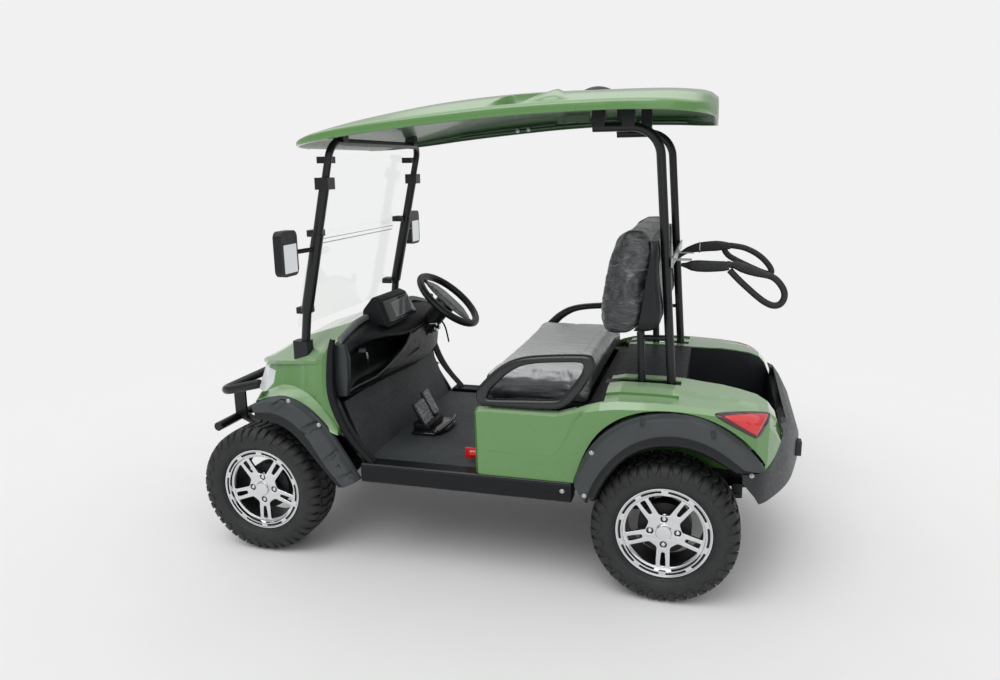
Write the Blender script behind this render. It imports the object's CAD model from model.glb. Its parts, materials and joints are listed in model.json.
import bpy
import bmesh
import json
import math
import random
from mathutils import Matrix, Vector, noise
from mathutils.bvhtree import BVHTree


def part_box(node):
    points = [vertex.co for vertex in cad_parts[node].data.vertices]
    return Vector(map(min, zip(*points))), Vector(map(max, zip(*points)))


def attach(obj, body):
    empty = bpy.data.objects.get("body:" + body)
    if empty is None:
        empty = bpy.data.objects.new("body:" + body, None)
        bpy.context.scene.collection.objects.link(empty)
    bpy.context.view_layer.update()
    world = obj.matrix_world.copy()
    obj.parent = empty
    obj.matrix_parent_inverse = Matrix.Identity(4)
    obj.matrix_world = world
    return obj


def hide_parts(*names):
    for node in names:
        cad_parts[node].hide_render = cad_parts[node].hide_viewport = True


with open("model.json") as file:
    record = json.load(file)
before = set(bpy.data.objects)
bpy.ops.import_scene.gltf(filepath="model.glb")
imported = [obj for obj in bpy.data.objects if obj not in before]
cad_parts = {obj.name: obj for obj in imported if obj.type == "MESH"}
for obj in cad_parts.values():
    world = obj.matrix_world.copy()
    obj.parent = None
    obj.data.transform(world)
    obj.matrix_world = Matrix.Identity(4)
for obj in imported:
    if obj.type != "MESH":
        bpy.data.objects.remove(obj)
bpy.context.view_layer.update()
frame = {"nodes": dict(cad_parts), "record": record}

# Two-seat golf cart, metres. +X points to the front, +Y to the left, +Z up.
NODES = frame["nodes"]
SIDES = ((1, "left"), (-1, "right"))

EYE = (-0.900, 3.26, 1.609)
YAW, PITCH, ROLL = (math.radians(angle) for angle in (15.77, 12.71, -0.82))
LENS = 27.92
SENSOR = 36.0
PAPER = 241


def rgb(r, g, b):
    """Screen colour, 0 to 255, as a linear colour."""
    def channel(value):
        value = value / 255.0
        return value / 12.92 if value <= 0.04045 else ((value + 0.055) / 1.055) ** 2.4
    return (channel(r), channel(g), channel(b), 1.0)


def mm(value):
    """Millimetres, in nested lists of any depth, as metres."""
    if isinstance(value, (list, tuple)):
        return [mm(item) for item in value]
    return value / 1000


def added(name, data):
    made = bpy.data.objects.new(name, data)
    bpy.context.scene.collection.objects.link(made)
    return made


# Camera
def make_camera():
    ahead = Vector((math.sin(YAW) * math.cos(PITCH), -math.cos(YAW) * math.cos(PITCH), -math.sin(PITCH)))
    right = ahead.cross(Vector((0, 0, 1))).normalized()
    up = right.cross(ahead)
    across = right * math.cos(ROLL) + up * math.sin(ROLL)
    upward = up * math.cos(ROLL) - right * math.sin(ROLL)
    turn = Matrix((across, upward, -ahead)).transposed().to_4x4()
    data = bpy.data.cameras.new("camera")
    data.lens = LENS
    data.sensor_width = SENSOR
    camera = added("camera", data)
    camera.matrix_world = Matrix.Translation(EYE) @ turn
    bpy.context.scene.camera = camera


make_camera()


# Materials
def node(tree, kind, feeds=None, **settings):
    """Add a shader node; feeds give its inputs a value or another node's output."""
    made = tree.nodes.new(kind)
    for key, value in settings.items():
        setattr(made, key, value)
    for key, value in (feeds or {}).items():
        if hasattr(value, "links"):
            tree.links.new(value, made.inputs[key])
        else:
            made.inputs[key].default_value = value
    return made


def new_material(name):
    made = bpy.data.materials.new(name)
    made.use_nodes = True
    return made, made.node_tree, made.node_tree.nodes["Principled BSDF"]


def coords(tree, stretch=(1, 1, 1)):
    place = node(tree, "ShaderNodeTexCoord").outputs["Object"]
    return node(tree, "ShaderNodeMapping", {"Scale": stretch, "Vector": place}).outputs["Vector"]


def noise_of(tree, vector, scale, detail=4.0, rough=0.55, distort=0.0):
    return node(tree, "ShaderNodeTexNoise", {"Scale": scale, "Detail": detail, "Roughness": rough,
                                             "Distortion": distort, "Vector": vector}).outputs["Fac"]


def ranged(tree, value, low, high, start=0.3, end=0.7):
    return node(tree, "ShaderNodeMapRange", {"From Min": start, "From Max": end, "To Min": low, "To Max": high,
                                             "Value": value}).outputs["Result"]


def mixed(tree, factor, first, second):
    return node(tree, "ShaderNodeMix", {"Factor": factor, "A": first, "B": second},
                data_type="RGBA").outputs["Result"]


def upward(tree, high, end):
    """Share by which a surface looks up, from 0 to high."""
    normal = node(tree, "ShaderNodeNewGeometry").outputs["Normal"]
    height = node(tree, "ShaderNodeSeparateXYZ", {"Vector": normal}).outputs["Z"]
    return ranged(tree, height, 0.0, high, 0.45, end)


def bumped(tree, shader, height, strength, distance, under=None, coat=False):
    feeds = {"Strength": strength, "Distance": distance, "Height": height}
    if under is not None:
        feeds["Normal"] = under
    normal = node(tree, "ShaderNodeBump", feeds).outputs["Normal"]
    for key in ("Normal", "Coat Normal") if coat else ("Normal",):
        tree.links.new(normal, shader.inputs[key])
    return normal


def shade(color, amount):
    return tuple(min(1.0, c * amount) for c in color[:3]) + (1.0,)


def finish_of(name, color, rough, spread=0.06, vary=0.06, metal=0.0, coat=0.0, coat_rough=0.05, grain=0.0,
              grain_scale=900.0, grain_depth=0.0003, wave=0.0, wave_scale=2.5, specular=0.5, pale=None):
    """Moulded or painted surface: soft cloudiness in colour and gloss, fine grain and slow waviness."""
    made, tree, shader = new_material(name)
    vector = coords(tree)
    cloud = noise_of(tree, vector, 7.0, 5.0)
    color = rgb(*color)
    tone = mixed(tree, ranged(tree, cloud, 0, 1), shade(color, 1 - vary), shade(color, 1 + vary))
    if pale:
        tone = mixed(tree, upward(tree, 0.5, 0.93), tone, rgb(*pale))
    tree.links.new(tone, shader.inputs["Base Color"])
    fine = noise_of(tree, vector, 60.0, 3.0)
    tree.links.new(ranged(tree, fine, max(0.02, rough - spread), rough + spread), shader.inputs["Roughness"])
    shader.inputs["Metallic"].default_value = metal
    shader.inputs["Specular IOR Level"].default_value = specular
    if coat > 0:
        shader.inputs["Coat Weight"].default_value = coat
        shader.inputs["Coat Roughness"].default_value = coat_rough
    under = None
    if wave > 0:
        under = bumped(tree, shader, noise_of(tree, vector, wave_scale, 2.0), wave, 0.01, None, coat > 0)
    if grain > 0:
        bumped(tree, shader, noise_of(tree, vector, grain_scale, 2.0, 0.6), grain, grain_depth, under)
    return made


def film_vinyl(name, stretch, color, pale, crease, top=None):
    """Dark vinyl under clear film: long fine wrinkles, pale streaks along them and a wet gloss."""
    made, tree, shader = new_material(name)
    color, pale = rgb(*color), rgb(*pale)
    wave = coords(tree, stretch)
    folds = noise_of(tree, wave, 1.0, 6.0, 0.62, 1.2)
    fine = noise_of(tree, wave, 2.6, 4.0, 0.6, 0.8)
    plain = coords(tree)
    cloud = noise_of(tree, plain, 6.0, 3.0)
    dark = mixed(tree, ranged(tree, cloud, 0, 1), shade(color, 0.8), shade(color, 1.2))
    streaks = ranged(tree, folds, 0, 1, 0.52, 0.72)
    tone = mixed(tree, streaks, dark, pale)
    if top:
        light = mixed(tree, streaks, rgb(*top), shade(rgb(*top), 1.25))
        tone = mixed(tree, upward(tree, 1, 0.92), tone, light)
    tree.links.new(tone, shader.inputs["Base Color"])
    tree.links.new(ranged(tree, fine, 0.22, 0.5), shader.inputs["Roughness"])
    shader.inputs["Coat Weight"].default_value = 0.7
    shader.inputs["Coat Roughness"].default_value = 0.16
    under = bumped(tree, shader, folds, crease, 0.012, None, True)
    under = bumped(tree, shader, fine, crease * 0.6, 0.004, under, True)
    bumped(tree, shader, noise_of(tree, plain, 420.0, 2.0), 0.15, 0.0003, under)
    return made


def glass_material(name, tint, rough, strength):
    """Thin clear sheet: mostly see-through, with soft reflections and a faint haze."""
    made, tree, shader = new_material(name)
    clear = node(tree, "ShaderNodeBsdfTransparent", {"Color": tint})
    haze = ranged(tree, noise_of(tree, coords(tree), 9.0), rough * 0.6, rough * 1.4)
    gloss = node(tree, "ShaderNodeBsdfGlossy", {"Color": (1, 1, 1, 1), "Roughness": haze})
    edge = node(tree, "ShaderNodeLayerWeight", {"Blend": 0.5})
    curve = node(tree, "ShaderNodeMath", {0: edge.outputs["Facing"], 1: 4.0}, operation="POWER")
    scale = node(tree, "ShaderNodeMath", {0: curve.outputs["Value"], 1: strength, 2: 0.025},
                 operation="MULTIPLY_ADD")
    blend = node(tree, "ShaderNodeMixShader", {"Fac": scale.outputs["Value"], 1: clear.outputs["BSDF"],
                                               2: gloss.outputs["BSDF"]})
    tree.links.new(blend.outputs["Shader"], tree.nodes["Material Output"].inputs["Surface"])
    tree.nodes.remove(shader)
    return made


# Each finish: colour, roughness, its spread, cloudiness of the colour, and what else it has
FINISHES = {
    "green_paint": ((90, 138, 73), 0.3, 0.03, 0.02, dict(coat=1.0, coat_rough=0.08, grain=0.05,
                                                         grain_scale=260.0, wave=0.04, pale=(186, 212, 176))),
    "green_under": ((48, 82, 46), 0.42, 0.06, 0.08, dict(coat=0.3, grain=0.2, grain_scale=260.0)),
    "black_steel": ((20, 22, 25), 0.33, 0.06, 0.1, dict(coat=0.15, coat_rough=0.2, grain=0.12,
                                                        grain_scale=420.0, specular=0.35)),
    "black_plastic": ((19, 21, 24), 0.48, 0.07, 0.12, dict(grain=0.25, grain_scale=700.0, specular=0.24)),
    "dash_plastic": ((26, 29, 31), 0.42, 0.07, 0.1, dict(grain=0.25, grain_scale=800.0, specular=0.3)),
    "dash_end": ((46, 51, 54), 0.42, 0.06, 0.08, dict(grain=0.35, grain_scale=520.0)),
    "flare_plastic": ((44, 48, 51), 0.44, 0.08, 0.1, dict(grain=0.25, grain_scale=650.0, specular=0.35)),
    "flare_face": ((62, 66, 68), 0.42, 0.08, 0.1, dict(grain=0.25, grain_scale=650.0, specular=0.4)),
    "flare_dark": ((26, 29, 31), 0.45, 0.08, 0.1, dict(grain=0.25, grain_scale=650.0, specular=0.3)),
    "well_plastic": ((30, 34, 38), 0.5, 0.08, 0.1, dict(grain=0.25, grain_scale=650.0, specular=0.25)),
    "shell_plastic": ((22, 24, 27), 0.36, 0.06, 0.1, dict(grain=0.2, grain_scale=700.0, specular=0.35)),
    "floor_rubber": ((66, 70, 73), 0.6, 0.1, 0.22, dict(grain=1.0, grain_scale=130.0, grain_depth=0.0016)),
    "display": ((108, 112, 116), 0.16, 0.05, 0.12, dict(coat=0.6)),
    "screen_grey": ((112, 116, 122), 0.2, 0.06, 0.18, dict(coat=0.8, grain=0.1)),
    "lamp_red": ((214, 30, 36), 0.16, 0.04, 0.08, dict(coat=0.9)),
    "lamp_frame": ((58, 14, 20), 0.14, 0.04, 0.1, dict(coat=0.8, grain=0.05)),
    "lamp_clear": ((214, 218, 220), 0.12, 0.04, 0.06, dict(coat=0.8)),
    "red_plastic": ((214, 22, 22), 0.25, 0.05, 0.06, dict(coat=0.5, grain=0.05)),
    "rim_chrome": ((222, 224, 226), 0.09, 0.04, 0.03, dict(metal=1.0, wave=0.02, wave_scale=22.0)),
    "rim_dark": ((20, 21, 22), 0.55, 0.08, 0.2, dict(metal=0.2, grain=0.3, grain_scale=200.0)),
    "mirror_glass": ((214, 218, 220), 0.03, 0.015, 0.02, dict(metal=1.0)),
    "seam_clear": ((214, 216, 216), 0.2, 0.05, 0.03, dict(grain=0.05)),
    "seal_grey": ((112, 115, 116), 0.45, 0.08, 0.1, dict(grain=0.4, grain_scale=500.0)),
    "gloss_black": ((18, 19, 20), 0.14, 0.05, 0.1, dict(coat=0.7, grain=0.08)),
    "dark_satin": ((13, 15, 17), 0.4, 0.08, 0.12, dict(grain=0.3, grain_scale=400.0)),
    "trim_edge": ((74, 76, 78), 0.38, 0.07, 0.1, dict(grain=0.2, grain_scale=600.0)),
    "screw_steel": ((190, 192, 194), 0.22, 0.06, 0.06, dict(metal=1.0, grain=0.1)),
    "pad_silver": ((150, 152, 154), 0.3, 0.1, 0.25, dict(metal=0.85, grain=1.0, grain_scale=160.0,
                                                         grain_depth=0.003)),
    "pedal_metal": ((168, 170, 172), 0.34, 0.08, 0.08, dict(metal=0.9, grain=0.3, grain_scale=300.0)),
    "holder_metal": ((176, 178, 180), 0.32, 0.07, 0.06, dict(metal=0.7, grain=0.12)),
    "axle_steel": ((44, 45, 47), 0.5, 0.1, 0.18, dict(metal=0.3, grain=0.3, grain_scale=260.0)),
    "battery_case": ((52, 53, 56), 0.5, 0.08, 0.1, dict(grain=0.25)),
    "strap_webbing": ((30, 31, 33), 0.55, 0.08, 0.14, dict(grain=0.4, grain_scale=500.0)),
    "arm_black": ((24, 27, 29), 0.3, 0.07, 0.1, dict(coat=0.25, coat_rough=0.2, grain=0.25, grain_scale=500.0)),
    "wheel_grip": ((28, 29, 30), 0.4, 0.07, 0.12, dict(grain=0.3, grain_scale=420.0)),
    "wheel_black": ((22, 24, 26), 0.4, 0.06, 0.1, dict(grain=0.5, grain_scale=700.0)),
    "tyre_rubber": ((36, 37, 38), 0.62, 0.08, 0.18, dict(grain=0.4, grain_scale=240.0)),
}
M = {name: finish_of(name, *plain, **extra) for name, (*plain, extra) in FINISHES.items()}
M["seat_vinyl"] = film_vinyl("seat_vinyl", (7, 22, 36), (50, 52, 55), (110, 114, 118), 0.7)
M["seat_top_vinyl"] = film_vinyl("seat_top_vinyl", (5, 26, 26), (84, 87, 90), (136, 139, 142), 0.4,
                                 (214, 216, 218))
M["film_grey"] = film_vinyl("film_grey", (30, 12, 30), (104, 106, 108), (158, 160, 163), 0.5)
M["clear_glass"] = glass_material("clear_glass", (0.992, 0.995, 0.995, 1), 0.03, 0.22)

# The record's slot for a material that it doesn't name itself
SLOT_OF = {row["node"]: row["material_slot"] for row in frame["record"]["subparts"]}
SHOWN_AS = {"pedals": "gloss_black", "floor_pan": "black_plastic"}
for name, holder in NODES.items():
    holder.data.materials.clear()
    holder.data.materials.append(M[SHOWN_AS.get(name, SLOT_OF[name])])


# Forming
def smooth_by_angle(made, degrees):
    limit = math.radians(degrees)
    mesh = bmesh.new()
    mesh.from_mesh(made.data)
    for face in mesh.faces:
        face.smooth = True
    for edge in mesh.edges:
        if len(edge.link_faces) == 2 and edge.calc_face_angle(0) > limit:
            edge.smooth = False
    mesh.to_mesh(made.data)
    mesh.free()


def piece_from(name, mesh, materials, body="chassis", smooth=35, matrix=None, slot=None, stands_for=None):
    """Finish a mesh as a named piece that rides on a body, in place of a node if one is given."""
    data = bpy.data.meshes.new(name)
    mesh.to_mesh(data)
    mesh.free()
    if matrix is not None:
        data.transform(matrix)
        if matrix.determinant() < 0:
            data.flip_normals()
    for material in materials:
        data.materials.append(M[material])
    made = added(name, data)
    smooth_by_angle(made, smooth)
    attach(made, body)
    if stands_for:
        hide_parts(stands_for)
    return made


def evaluated_mesh(made):
    return bpy.data.meshes.new_from_object(made.evaluated_get(bpy.context.evaluated_depsgraph_get()))


def bake(made):
    data = evaluated_mesh(made)
    made.modifiers.clear()
    made.data = data


def finished(name, mesh, materials, bevel=0.0, subdivide=0, smooth=35, solid=0.0, segments=3, **given):
    """A piece with thickness, subdivision and rounded edges, applied to its mesh."""
    made = piece_from(name, mesh, materials, smooth=180, **given)
    if solid:
        shell = made.modifiers.new("shell", "SOLIDIFY")
        shell.thickness = solid
        shell.offset = -1
    if subdivide:
        made.modifiers.new("smoothed", "SUBSURF").levels = subdivide
    if bevel:
        rounding = made.modifiers.new("rounding", "BEVEL")
        rounding.width = bevel
        rounding.segments = segments
        rounding.limit_method = "ANGLE"
        rounding.angle_limit = math.radians(30)
    bake(made)
    smooth_by_angle(made, smooth)
    return made


def bridge(mesh, rings, around=True, loop=False, caps=False, material=0):
    """Join rings of vertices with faces; loop joins the last ring to the first, caps close the ends."""
    for first, second in zip(rings, rings[1:] + rings[:1] if loop else rings[1:]):
        for a in range(len(first) if around else len(first) - 1):
            b = (a + 1) % len(first)
            mesh.faces.new((first[a], first[b], second[b], second[a])).material_index = material
    if caps:
        for ring in (rings[0], rings[-1]):
            mesh.faces.new(ring).material_index = material


def grid_of(mesh, rows):
    return [[mesh.verts.new(point) for point in row] for row in rows]


def slab(name, outline, push, material, bevel=0.003, segments=3, **given):
    """A flat outline pushed into a solid, with rounded edges."""
    mesh = bmesh.new()
    near, far = grid_of(mesh, [outline, [Vector(point) + Vector(push) for point in outline]])
    bridge(mesh, [near, far], caps=True)
    bmesh.ops.recalc_face_normals(mesh, faces=mesh.faces)
    return finished(name, mesh, [material], bevel, segments=segments, **given)


def sheet_of(name, rows, material, solid=0.003, subdivide=1, **given):
    """A curved sheet through rows of points."""
    mesh = bmesh.new()
    bridge(mesh, grid_of(mesh, rows), around=False)
    bmesh.ops.recalc_face_normals(mesh, faces=mesh.faces)
    return finished(name, mesh, [material], 0, subdivide, 40, solid, **given)


def line_curve(name, points, cyclic, smooth=True):
    """A curve through points, in the scene while it is evaluated."""
    route = bpy.data.curves.new(name, "CURVE")
    route.dimensions = "3D"
    spline = route.splines.new("NURBS" if smooth else "POLY")
    spline.points.add(len(points) - 1)
    for point, place in zip(spline.points, points):
        point.co = (*place, 1)
    if smooth:
        spline.order_u = 3
        spline.use_endpoint_u = not cyclic
    spline.use_cyclic_u = cyclic
    return route, added(name + "_line", route)


def pipe(name, points, radius, material, cyclic=False, smooth_line=True, **given):
    """A round bar along a smooth line."""
    route, carrier = line_curve(name, points, cyclic, smooth_line)
    route.resolution_u = 6
    route.bevel_depth = radius
    route.bevel_resolution = 5
    route.use_fill_caps = True
    data = evaluated_mesh(carrier)
    bpy.data.objects.remove(carrier)
    mesh = bmesh.new()
    mesh.from_mesh(data)
    return finished(name, mesh, [material], smooth=60, **given)


def catmull(p0, p1, p2, p3, t):
    """Point between p1 and p2 on a smooth line through four points."""
    p0, p1, p2, p3 = Vector(p0), Vector(p1), Vector(p2), Vector(p3)
    return 0.5 * ((2 * p1) + (p2 - p0) * t + (2 * p0 - 5 * p1 + 4 * p2 - p3) * t * t
                  + (3 * p1 - p0 - 3 * p2 + p3) * t ** 3)


def smooth_ring(points, steps=6):
    """Closed smooth line through points."""
    count = len(points)
    return [tuple(catmull(*(points[(index + k) % count] for k in (-1, 0, 1, 2)), step / steps))
            for index in range(count) for step in range(steps)]


def eased(a, b, value):
    share = min(1.0, max(0.0, (value - a) / (b - a)))
    return share * share * (3 - 2 * share)


def circle(radius, count=96):
    return [(radius * math.cos(2 * math.pi * i / count), radius * math.sin(2 * math.pi * i / count))
            for i in range(count)]


def disc_rings(mesh, rows, count, place=lambda u, v, h: (u, v, h)):
    """Rings of count vertices, for rows of radius and height, set in place by a function."""
    return grid_of(mesh, [[place(u, v, h) for u, v in circle(r, count)] for r, h in rows])


def reach_of(name):
    """Ray test on a node's rest mesh."""
    data = NODES[name].data
    tree = BVHTree.FromPolygons([vert.co for vert in data.vertices],
                                [tuple(face.vertices) for face in data.polygons])
    return lambda origin, direction: tree.ray_cast(origin, direction)[0]


# Wheels
AXLE_HEIGHT = 0.275
TREAD_RADIUS = 0.272
TREAD_TOP = 0.2745
TYRE_STEPS = 96
PITCHES = 21
CARCASS = mm([(0, 266.8), (30, 266.4), (55, 265.0), (75, 261.8), (88.5, 255.5), (96.5, 245.0),
              (100.5, 232.0), (101.5, 218.0), (98.5, 203.0), (91.5, 190.0), (83.5, 183.0), (76.5, 180.0),
              (72.2, 178.6)])
BEAD = mm([(71.2, 157.2)])
SIDE_RIBS = mm([(100.3, 231.8), (89.3, 186.8)])
RIB_FORM = mm([(-1, -2.2), (1.1, -0.8), (1.1, 0.8), (-1, 2.2)])
# Tread blocks: share of the pitch, then stations of distance from the middle line, start, end and height
TREAD = [
    (0.0, mm([(52, -17, 6, 6), (55.5, -19, 11, 8.5), (70, -17, 16, 9.5), (86, -15, 18, 9), (100, -14, 18, 6),
              (113, -12, 16, 5), (124, -8, 12, 3.5)])),
    (0.5, mm([(58, -12, 14, 6), (61, -15, 17, 8.5), (74, -14, 15, 9.5), (88, -13, 13, 8.5), (100, -10, 10, 5.5),
              (107, -7, 7, 3.5)])),
    (0.2, mm([(6, -16, 4, 6), (10, -19, 9, 8.5), (26, -14, 16, 8.5), (41, -6, 19, 8.5), (46, 1, 16, 6)])),
    (0.68, mm([(3, -10, 7, 6), (6, -12, 11, 8.5), (22, -9, 14, 8.5), (34, -3, 17, 8.5), (43, 4, 21, 8.5),
               (48, 8, 19, 6)]))]


def wheel_centre(tag):
    low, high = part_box("tyre_" + tag)
    return Vector(((low[0] + high[0]) / 2, (low[1] + high[1]) / 2, AXLE_HEIGHT))


def profile_at(t):
    """Place and outward direction on the carcass, t metres from its middle line."""
    total = 0.0
    for (y0, r0), (y1, r1) in zip(CARCASS, CARCASS[1:]):
        run = math.hypot(y1 - y0, r1 - r0)
        if t <= total + run or [y1, r1] == CARCASS[-1]:
            share = (t - total) / run
            return (y0 + (y1 - y0) * share, r0 + (r1 - r0) * share, (r0 - r1) / run, (y1 - y0) / run)
        total += run


def wheel_point(y, r, turn):
    return Vector((r * math.sin(turn), y, r * math.cos(turn)))


def turned(mesh, rows, steps, material=0, loop=False):
    """Rows of (y, r) turned about the axle."""
    rings = grid_of(mesh, [[wheel_point(y, r, 2 * math.pi * i / steps) for i in range(steps)] for y, r in rows])
    bridge(mesh, rings, loop=loop, material=material)


def tread_block(mesh, side, turn, stations):
    rings = []
    for t, start, end, height in stations:
        y, r, ny, nr = profile_at(t)
        rise = min(height, (TREAD_TOP - r) / max(nr, 0.05)) if nr > 0.3 else height
        section = ((start - 0.0012, -0.002), (start, rise - 0.0018), (start + 0.0016, rise),
                   (end - 0.0016, rise), (end, rise - 0.0018), (end + 0.0012, -0.002))
        rings.append([wheel_point(side * (y + ny * lift), r + nr * lift, turn + s / TREAD_RADIUS)
                      for s, lift in section])
    rings = grid_of(mesh, rings)
    for first, second in zip(rings, rings[1:]):
        for a in range(5):
            mesh.faces.new((first[a], first[a + 1], second[a + 1], second[a]))
    mesh.faces.new(rings[0])
    mesh.faces.new(rings[-1])


def tyre_mesh():
    mesh = bmesh.new()
    rows = BEAD + CARCASS[::-1] + [(-y, r) for y, r in CARCASS[1:] + BEAD]
    turned(mesh, rows, TYRE_STEPS, loop=True)
    for y, r in SIDE_RIBS:
        for sign in (1, -1):
            turned(mesh, [(sign * (y + dy), r + dr) for dy, dr in RIB_FORM], TYRE_STEPS)
    pitch = 2 * math.pi / PITCHES
    for index in range(PITCHES):
        for side in (1, -1):
            base = pitch * (index + (0 if side > 0 else 0.5))
            for share, stations in TREAD:
                tread_block(mesh, side, base + pitch * share, stations)
    bmesh.ops.recalc_face_normals(mesh, faces=mesh.faces)
    return mesh


def outline_curve(name, outer, holes, thickness, bevel):
    """Flat plate with holes and rounded edges, in the wheel's face plane (u = x, v = z, depth along y)."""
    data = bpy.data.curves.new(name, "CURVE")
    data.dimensions = "2D"
    data.fill_mode = "BOTH"
    data.extrude = max(thickness / 2 - bevel, 0.0)
    data.bevel_depth = bevel
    data.bevel_resolution = 2
    data.offset = -bevel
    for ring in [outer] + holes:
        spline = data.splines.new("POLY")
        spline.points.add(len(ring) - 1)
        for point, (u, v) in zip(spline.points, ring):
            point.co = (u, v, 0, 1)
        spline.use_cyclic_u = True
    carrier = added(name, data)
    plate = evaluated_mesh(carrier)
    bpy.data.objects.remove(carrier)
    return plate


def rounded(corners, radius, steps=5):
    """Polygon with its corners rounded."""
    result = []
    for index, corner in enumerate(corners):
        here = Vector(corner)
        before = Vector(corners[index - 1]) - here
        after = Vector(corners[(index + 1) % len(corners)]) - here
        reach = min(radius, before.length * 0.45, after.length * 0.45)
        start = here + before.normalized() * reach
        end = here + after.normalized() * reach
        for share in (step / steps for step in range(steps + 1)):
            result.append(tuple(start.lerp(here, share).lerp(here.lerp(end, share), share)))
    return result


def polar(radius, degrees):
    return (radius * math.cos(math.radians(degrees)), radius * math.sin(math.radians(degrees)))


def arc_points(radius, start, end, count):
    return [polar(radius, start + (end - start) * i / (count - 1)) for i in range(count)]


def plate_into(mesh, plate, y):
    """Add a face plate, its middle at y."""
    plate.transform(Matrix.Translation((0, y, 0)) @ Matrix.Rotation(math.radians(90), 4, "X"))
    mesh.from_mesh(plate)
    bpy.data.meshes.remove(plate)


def stud_into(mesh, place, y, rows, sides, material):
    """Rings of (height, radius) on a face, closed at the top where it isn't a point."""
    rings = disc_rings(mesh, [(r, dy) for dy, r in rows], sides,
                       lambda u, v, h: (place[0] + u, y + h, place[1] + v))
    bridge(mesh, rings, material=material)
    if rows[-1][1] > 0.001:
        mesh.faces.new(rings[-1]).material_index = material


SPOKES = 5
NUT_CIRCLE = 0.0508
# Rim rows turned about the axle: steps, material, whether they close, and (y, r)
RIM_ROWS = [
    (96, 0, True, mm([(71.2, 169.0), (71.2, 175.2), (72.8, 177.6), (75.2, 178.0), (77.2, 176.6), (77.6, 174.2),
                      (76.8, 171.6), (75.2, 169.4)])),
    (96, 0, True, mm([(76.4, 156.2), (77.2, 154.6), (76.4, 153.0), (70.0, 151.2), (66.0, 150.2), (65.0, 147.8),
                      (63.2, 145.2), (60.0, 144.6), (52.0, 145.0), (52.0, 151.0), (70.0, 154.0)])),
    (96, 1, False, mm([(73.5, 170.5), (72.2, 170.0), (72.2, 154.0), (73.5, 153.5)])),
    (72, 1, True, mm([(64.0, 150.5), (45.0, 149.0), (30.0, 145.0), (-50.0, 144.0), (-68.0, 150.0),
                      (-77.0, 152.0), (-77.5, 177.0), (-71.5, 177.5), (-70.0, 155.5), (65.0, 155.6)])),
    (64, 1, False, mm([(25.5, 1.0), (26.2, 96.0), (24.0, 99.5), (-25.0, 100.0), (-25.5, 20.0)])),
    (48, 1, False, mm([(10.0, 30.0), (48.0, 42.0), (52.0, 49.0)])),
    (64, 0, False, mm([(60.0, 33.5), (63.2, 32.5), (64.8, 30.0), (65.2, 29.2), (72.0, 28.6), (74.2, 27.0),
                       (75.0, 24.0), (75.3, 8.0), (75.3, 0.2)]))]
BOLT = mm([(-2, 6.5), (2.7, 6.5), (3.5, 5.59)])
# Lug nut: a dark well, a hexagon and a domed cap
NUT = [(mm([(6, 13.6), (-6, 13.6), (-6.2, 0)]), 24, 1), (mm([(-5.5, 9.8), (0, 9.8), (1.2, 8.6)]), 6, 0),
       (mm([(0.6, 8.2), (6, 8), (8.2, 6.4), (9.2, 3), (9.4, 0.2)]), 20, 0)]


def rim_mesh():
    mesh = bmesh.new()
    windows = []
    for index in range(SPOKES):
        spoke = 270 + 72 * index
        mid = spoke + 36
        inner = [polar(0.068, mid - 15), polar(0.0645, mid), polar(0.068, mid + 15)]
        windows.append(rounded(inner + arc_points(0.1425, mid + 25.5, mid - 25.5, 9), 0.007))
        slot = ((0.083, 4.2), (0.083, -4.2), (0.112, -4.6), (0.139, -4.2), (0.139, 4.2), (0.112, 4.6))
        windows.append(rounded([polar(r, spoke + turn) for r, turn in slot], 0.0055))
    nuts = [polar(NUT_CIRCLE, 90 + 90 * i) for i in range(4)]
    wells = [[(u + a, v + b) for a, b in circle(0.0132, 20)] for u, v in nuts]
    plate_into(mesh, outline_curve("rim_face", circle(0.150, 120), windows + wells, 0.013, 0.0022), 0.0560)
    slots = []
    for start in range(270, 630, 36):
        slots.append(rounded(arc_points(0.1672, start + 4.5, start + 31.5, 12)
                             + arc_points(0.1588, start + 31.5, start + 4.5, 12), 0.003, 3))
    ring = outline_curve("rim_ring", circle(0.1700, 120), slots + [circle(0.1545, 120)], 0.005, 0.0009)
    plate_into(mesh, ring, 0.0745)
    for steps, material, loop, rows in RIM_ROWS:
        turned(mesh, rows, steps, material, loop)
    for index in range(8):
        stud_into(mesh, polar(0.0780, 45 * index + 20), 0.0262, BOLT, 6, 1)
    for place in nuts:
        for rows, sides, material in NUT:
            stud_into(mesh, place, 0.0545, rows, sides, material)
    bmesh.ops.remove_doubles(mesh, verts=mesh.verts, dist=0.00001)
    bmesh.ops.recalc_face_normals(mesh, faces=mesh.faces)
    return mesh


def wheels():
    for end in ("front", "rear"):
        for side, name in SIDES:
            tag = "%s_%s" % (end, name)
            place = Matrix.Translation(wheel_centre(tag)) @ Matrix.Diagonal((1, side, 1, 1))
            piece_from("tyre_%s_tread" % tag, tyre_mesh(), ["tyre_rubber"], "wheel_" + tag, 32, place,
                       stands_for="tyre_" + tag)
            piece_from("rim_%s_spokes" % tag, rim_mesh(), ["rim_chrome", "rim_dark"], "wheel_" + tag, 38, place,
                       stands_for="rim_" + tag)


wheels()


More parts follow.
